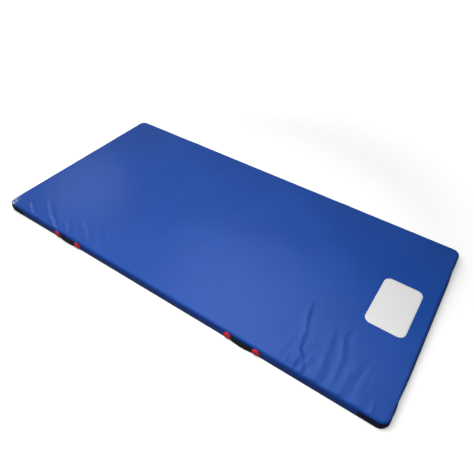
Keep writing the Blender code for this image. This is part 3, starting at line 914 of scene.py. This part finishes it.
# %% Lay rows of stitches
SPINDLE = np.array(
    [(-0.5, 0, 0), (0.5, 0, 0)]
    + [
        (end * 0.28, math.cos(quarter * math.pi / 2), math.sin(quarter * math.pi / 2))
        for end in (-1, 1)
        for quarter in range(4)
    ]
)
SPINDLE_FACES = (
    [(0, 2 + (side + 1) % 4, 2 + side) for side in range(4)]
    + [(1, 6 + side, 6 + (side + 1) % 4) for side in range(4)]
    + [(2 + side, 2 + (side + 1) % 4, 6 + (side + 1) % 4, 6 + side) for side in range(4)]
)


def stitch_row(name, path, outwards, finish, slot, body="mat", pitch=0.0050, length=0.0038, radius=0.00042):
    """Lays stitches along a path. Outwards holds the surface's direction at each path point."""
    path, outwards = np.array(path, float), np.array(outwards, float)
    spans = np.linalg.norm(np.diff(path, axis=0), axis=1)
    reached = np.concatenate([[0], np.cumsum(spans)])
    points, faces = [], []
    for centre in np.arange(pitch / 2, reached[-1], pitch):
        index = min(max(np.searchsorted(reached, centre) - 1, 0), len(spans) - 1)
        way = (path[index + 1] - path[index]) / max(spans[index], 1e-9)
        place = path[index] + way * (centre - reached[index])
        out = outwards[index] / np.linalg.norm(outwards[index])
        across = np.cross(out, way)
        first = len(points)
        for along, side, rise in SPINDLE:
            points.append(place + way * along * length + across * side * radius + out * rise * radius * 0.8)
        faces.extend(tuple(first + corner for corner in face) for face in SPINDLE_FACES)
    return add_piece(name, points, faces, finish, body, slot)


def rim_path(height, spacing=0.004):
    """Points right round the wall at one height, and the way out at each."""
    count = round(PERIMETER / spacing)
    spots = [rim_at(PERIMETER * step / count, wall_inset(height)) for step in range(count + 1)]
    return [(plan.x, plan.y, height) for plan, _ in spots], [(out.x, out.y, 0) for _, out in spots]


for name, height in (("top", WALL_HIGH - 0.0042), ("base", WALL_LOW + 0.0040)):
    stitch_row(f"{name}_seam_stitches", *rim_path(height), THREAD, "pvc_black")
print("seam stitches:", int(PERIMETER / 0.005), "in each row")

# %% [markdown]
# ## Corner guards
#
# The corners of the walls take the knocks, so each has a second skin of black leatherette wrapped
# round it, sewn near its two upright edges. It follows the wall's shape and stands one sheet off it.


# %% Wrap the corners
def make_guard(y_name, x_name, middle):
    """Wraps one corner. Middle is how far round the rim the middle of its bend is."""
    node = f"corner_guard_{y_name}_{x_name}"
    low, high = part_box(node)
    half = (high.x - low.x) - CORNER + BEND / 2
    start, end = middle - half, middle + half
    guard = make_strip(
        f"guard_{y_name}_{x_name}", start, end, heights_between(low.z, high.z, 9), wall_inset, GUARD_VINYL,
        "guard_black", [node], stand_off=0.0014, bulge=0.0022,
    )
    thicken(guard, 0.0012, rounding=0.0004)
    for side, distance in (("first", start + 0.004), ("last", end - 0.004)):
        path, outwards = [], []
        for height in heights_between(low.z + 0.003, high.z - 0.003, 8):
            plan, outward = rim_at(distance, wall_inset(height) - 0.0015)
            path.append((plan.x, plan.y, height))
            outwards.append((outward.x, outward.y, 0))
        name = f"guard_{y_name}_{x_name}_{side}_stitches"
        stitch_row(name, path, outwards, THREAD, "guard_black", pitch=0.004, length=0.003)


make_guard("front", "right", STRAIGHT_X + BEND / 2)
make_guard("back", "right", back_start + BEND / 2)
make_guard("back", "left", back_start + BEND + STRAIGHT_X + BEND / 2)
make_guard("front", "left", PERIMETER - BEND / 2)

# %% [markdown]
# ## Handles
#
# Each handle is one length of ribbed webbing. Its ends are sewn flat to the wall under round red
# patches, and the middle stands off as a finger loop. The loop can be pulled taut; here it is made in
# two fixed halves, each bowed out from the wall to the loop's middle. A patch lies over the webbing's
# end like a blanket: high over the webbing, low beside it, with a sunken ring where it is sewn.


# %% Build the webbing
WEBBING_SHEET = 0.0016
LOOP_SLACK = 0.72  # share of the frame's bow that a loop hanging at rest takes up


def add_sheet(name, columns, rows, place_at, finish, slot, body, stands_for=()):
    """A sheet through place_at(column share, row share)."""
    points = [
        place_at(column / (columns - 1), row / (rows - 1)) for row in range(rows) for column in range(columns)
    ]
    return add_piece(name, points, grid_faces(columns, rows), finish, body, slot, stands_for)


def make_loop_half(handle, side, wall_y, outward):
    """Half of the loop, from a patch to the middle. It bends from the wall to the grip."""
    low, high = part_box(f"{handle}_handle_strap")
    middle, half = (low + high) / 2, (high.x - low.x) / 2
    bow = LOOP_SLACK * (high.y - low.y - WEBBING_SHEET)

    def place_at(along, across):
        position = -1.06 + 1.09 * along
        stand = 0.0020 + bow * max(math.sin(math.pi * (1 + min(max(position, -1), 1)) / 2), 0) ** 0.8
        curl = 0.0006 * (abs(across - 0.5) * 2) ** 4
        x = middle.x - side * position * half
        wander = 0.0003 * noise.noise(Vector((x * 60, across * 2, wall_y)))
        return (x, wall_y + outward * (stand - curl + wander), middle.z + (across - 0.5) * (high.z - low.z))

    name = f"{handle}_loop_{'right' if side > 0 else 'left'}"
    piece = add_sheet(name, 25, 13, place_at, WEBBING, "webbing_black", None)
    if side * outward > 0:
        piece.data.flip_normals()
    thicken(piece, WEBBING_SHEET, rounding=0.0004)
    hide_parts(f"{handle}_handle_strap")
    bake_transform(piece)


def make_webbing_end(handle, side_name, wall_y, outward):
    """The sewn-down end. The patch covers most of it."""
    name, node = f"{handle}_{side_name}_webbing_end", f"{handle}_handle_{side_name}_end"
    low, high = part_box(node)

    def place_at(along, across):
        x = low.x + (high.x - low.x) * along
        return (x, wall_y + outward * 0.0019, low.z + (high.z - low.z) * across)

    piece = add_sheet(name, 9, 9, place_at, WEBBING, "webbing_black", "mat", [node])
    if outward > 0:
        piece.data.flip_normals()
    thicken(piece, 0.0015, rounding=0.0003)


def make_backing(handle, wall_y):
    """The strip inside the wall that spreads the handle's pull. It follows the wall's own shape."""
    node = f"{handle}_handle_backing"
    low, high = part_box(node)
    start, end = low.x + CORE_X, high.x + CORE_X
    if wall_y > 0:
        start, end = (back_start + BEND + CORE_X - x for x in (high.x, low.x))
    heights = heights_between(low.z, high.z, 7)
    backing = make_strip(
        f"{handle}_backing", start, end, heights, wall_inset, BACKING_VINYL, "pvc_black", [node],
        stand_off=-0.0011,
    )
    thicken(backing, 0.0008)


# %% Build the patches
RINGS, SECTORS = 16, 48
SEWN_AT = 0.84  # share of a patch's radius at which it is sewn


def make_patch(handle, side_name, wall_y, outward):
    node = f"{handle}_handle_{side_name}_patch"
    low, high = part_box(node)
    middle, radius, dome = (low + high) / 2, (high.x - low.x) / 2, high.y - low.y
    strap_low, strap_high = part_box(f"{handle}_handle_strap")
    web_half = (strap_high.z - strap_low.z) / 2

    def off_wall(reach, z):
        """How far the patch stands off the wall, at a reach from its middle and z above it."""
        over_web = 1 / (1 + math.exp((abs(z) - web_half) / 0.0012))
        crown = dome * 0.95 * max(1 - (reach / (radius * 0.97)) ** 2, 0) ** 0.65
        groove = 0.0005 * math.exp(-(((reach - radius * SEWN_AT) / 0.0010) ** 2))
        return 0.0010 + 0.0018 * over_web + crown - groove

    def ring_of(reach, steps, stand):
        turns = [2 * math.pi * step / SECTORS for step in range(steps)]
        offsets = [(reach * math.cos(turn), reach * math.sin(turn)) for turn in turns]
        return [(middle.x + x, wall_y + outward * stand(reach, z), middle.z + z) for x, z in offsets]

    points = ring_of(0, 1, off_wall)
    for ring in range(1, RINGS + 1):
        points.extend(ring_of(radius * ring / RINGS, SECTORS, off_wall))
    points.extend(ring_of(radius, SECTORS, lambda reach, z: 0.0))
    faces = [(0, 1 + (step + 1) % SECTORS, 1 + step) for step in range(SECTORS)]
    for ring in range(RINGS):
        first, second = 1 + ring * SECTORS, 1 + (ring + 1) * SECTORS
        for step in range(SECTORS):
            following = (step + 1) % SECTORS
            faces.append((first + step, first + following, second + following, second + step))
    if outward < 0:
        faces = [tuple(reversed(face)) for face in faces]
    name = f"{handle}_{side_name}_patch"
    add_piece(name, points, faces, PATCH_VINYL, "mat", "patch_red", [node])

    path = ring_of(radius * SEWN_AT, SECTORS + 1, lambda reach, z: off_wall(reach, z) + 0.0002)
    stitch_row(
        f"{name}_stitches", path, [(0, outward, 0)] * len(path), PATCH_THREAD, "patch_red",
        pitch=0.0033, length=0.0025, radius=0.0004,
    )


for y_name, wall_y, outward in (("front", -HALF_WIDTH, -1), ("back", HALF_WIDTH, 1)):
    for x_name in ("left", "right"):
        handle = f"{y_name}_{x_name}"
        for side_name in ("left", "right"):
            make_webbing_end(handle, side_name, wall_y, outward)
            make_patch(handle, side_name, wall_y, outward)
        make_backing(handle, wall_y)
        make_loop_half(handle, -1, wall_y, outward)
        make_loop_half(handle, 1, wall_y, outward)
print("finger loops:", [node for node in nodes if node.endswith("_handle_strap")])

# %% [markdown]
# ## The zip
#
# A moulded-tooth zip closes the left end. The two plain rows of the frame are replaced by single
# teeth: each has a foot that clamps the tape and a head that meets the other row. The slider and its
# pull keep the frame's shape, with their edges eased.


# %% Mould the teeth
TOOTH_PITCH = 0.0030
# The foot that clamps the tape and the head that meets the other row: size, and shift to its own side.
TOOTH_BLOCKS = (((0.0026, 0.0019, 0.0013), 0.0006), ((0.0021, 0.0013, 0.0016), -0.0005))


def make_teeth(row_name, side):
    """One row of teeth. The upper row stands half a pitch along from the lower one."""
    node = f"zip_teeth_{row_name}"
    low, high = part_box(node)
    form = bmesh.new()
    bmesh.ops.create_cube(form, size=1)
    bmesh.ops.bevel(form, geom=form.edges[:], offset=0.22, segments=1, profile=0.5, affect="EDGES")
    shape, quads = points_and_faces(form)
    middle = (low + high) / 2
    points, faces = [], []
    for index in range(int((high.y - low.y) / TOOTH_PITCH)):
        y = low.y + TOOTH_PITCH * (index + (0.5 if side > 0 else 0.0)) + 0.0008
        for size, shift in TOOTH_BLOCKS:
            first = len(points)
            points.extend(shape * np.array(size) + np.array([middle.x, y, middle.z + side * shift]))
            faces.extend(tuple(first + corner for corner in quad) for quad in quads)
    add_piece(f"{row_name}_teeth", points, faces, ZIP_PLASTIC, "mat", "zip_teeth", [node], smooth=False)


make_teeth("upper", 1)
make_teeth("lower", -1)


# %% Finish the zip's other parts
def refinish(node, finish, rounding=0.0):
    """Gives a node of the frame its finish, and eases its edges with a modifier."""
    node.data.materials.clear()
    node.data.materials.append(finish)
    if rounding:
        ease_edges(node, rounding, math.radians(40))


for side in ("upper", "lower"):
    refinish(nodes[f"zip_tape_{side}"], ZIP_TAPE)
for side in ("front", "back"):
    refinish(nodes[f"zip_end_tab_{side}"], GUARD_VINYL, 0.0004)
for name in ("zip_slider", "zip_pull"):
    refinish(nodes[name], ZIP_METAL, 0.0003)

# %% Stitch the zip in
tape_low, tape_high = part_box("zip_tape_lower")
for name, height, inset in (
    ("upper", SLOT_HIGH + 0.0030, upper_inset(SLOT_HIGH + 0.0030)),
    ("lower", SLOT_LOW - 0.0030, lower_inset(SLOT_LOW - 0.0030)),
):
    path = [(-HALF_LENGTH + inset - 0.0001, y, height) for y in np.arange(tape_low.y, tape_high.y, 0.004)]
    outwards = [(-1, 0, 0)] * len(path)
    stitch_row(f"zip_{name}_stitches", path, outwards, THREAD, "pvc_black", pitch=0.004, length=0.003)

# %% [markdown]
# ## The label
#
# The label is a blank white rounded patch sewn on near the right end. It has to lie on the vinyl as
# it is, so each of its points is dropped onto the finished top panel.


# %% Sew on the label
LABEL_CORNER = 0.030
LABEL_SHEET = 0.0010
SEWN_IN = 0.005  # how far in from its edge the label is sewn
# Each ring of points: its size as a share of the outline, and how far it stands off the vinyl.
LABEL_RINGS = ((1.0, 0.0002), (0.994, 0.0008), (0.98, 0.0010)) + tuple(
    (scale, LABEL_SHEET) for scale in (0.95, 0.88, 0.75, 0.6, 0.45, 0.3, 0.15)
)


def surface_height(tree, x, y):
    hit = tree.ray_cast(Vector((x, y, 1)), Vector((0, 0, -1)))
    return hit[0].z if hit[0] else TOP


def rounded_outline(half_x, half_y, radius, steps=10):
    """Points round a rounded rectangle, counter-clockwise."""
    outline = []
    for quarter, (sign_x, sign_y) in enumerate(((1, 1), (-1, 1), (-1, -1), (1, -1))):
        for step in range(steps + 1):
            turn = math.pi / 2 * (quarter + step / steps)
            x = sign_x * (half_x - radius) + radius * math.cos(turn)
            outline.append((x, sign_y * (half_y - radius) + radius * math.sin(turn)))
    return outline


def densify(outline, spacing):
    """Adds points along a closed outline so that none are further apart than spacing."""
    dense = []
    for (x0, y0), (x1, y1) in zip(outline, outline[1:] + outline[:1]):
        count = max(1, math.ceil(math.hypot(x1 - x0, y1 - y0) / spacing))
        dense.extend((x0 + (x1 - x0) * step / count, y0 + (y1 - y0) * step / count) for step in range(count))
    return dense


def make_label():
    low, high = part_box("label_patch")
    middle = (low + high) / 2
    half_x, half_y = (high.x - low.x) / 2, (high.y - low.y) / 2
    vertices = [tuple(vertex.co) for vertex in top_cover.data.vertices]
    tree = BVHTree.FromPolygons(vertices, [tuple(face.vertices) for face in top_cover.data.polygons])

    def laid(x, y, lift):
        """A point x, y from the label's middle, dropped onto the top panel and raised by lift."""
        return (middle.x + x, middle.y + y, surface_height(tree, middle.x + x, middle.y + y) + lift)

    outline = densify(rounded_outline(half_x, half_y, LABEL_CORNER), 0.006)
    points = [laid(0, 0, LABEL_SHEET)]
    for scale, lift in LABEL_RINGS:
        points.extend(laid(x * scale, y * scale, lift) for x, y in outline)
    count = len(outline)
    faces = []
    for ring in range(len(LABEL_RINGS) - 1):
        outer, inner = 1 + ring * count, 1 + (ring + 1) * count
        for index in range(count):
            following = (index + 1) % count
            faces.append((outer + index, outer + following, inner + following, inner + index))
    last = 1 + (len(LABEL_RINGS) - 1) * count
    faces.extend((last + index, last + (index + 1) % count, 0) for index in range(count))
    label = add_piece("label", points, faces, LABEL_VINYL, "mat", "label_white", ["label_patch"])

    sewn = rounded_outline(half_x - SEWN_IN, half_y - SEWN_IN, LABEL_CORNER - SEWN_IN)
    sewn = densify(sewn, 0.004)
    path = [laid(x, y, LABEL_SHEET + 0.0001) for x, y in sewn + sewn[:1]]
    outwards = [(0, 0, 1)] * len(path)
    stitch_row("label_stitches", path, outwards, LABEL_THREAD, "label_white", pitch=0.0042, length=0.0032)
    return label


label = make_label()
print("label points:", len(label.data.vertices))
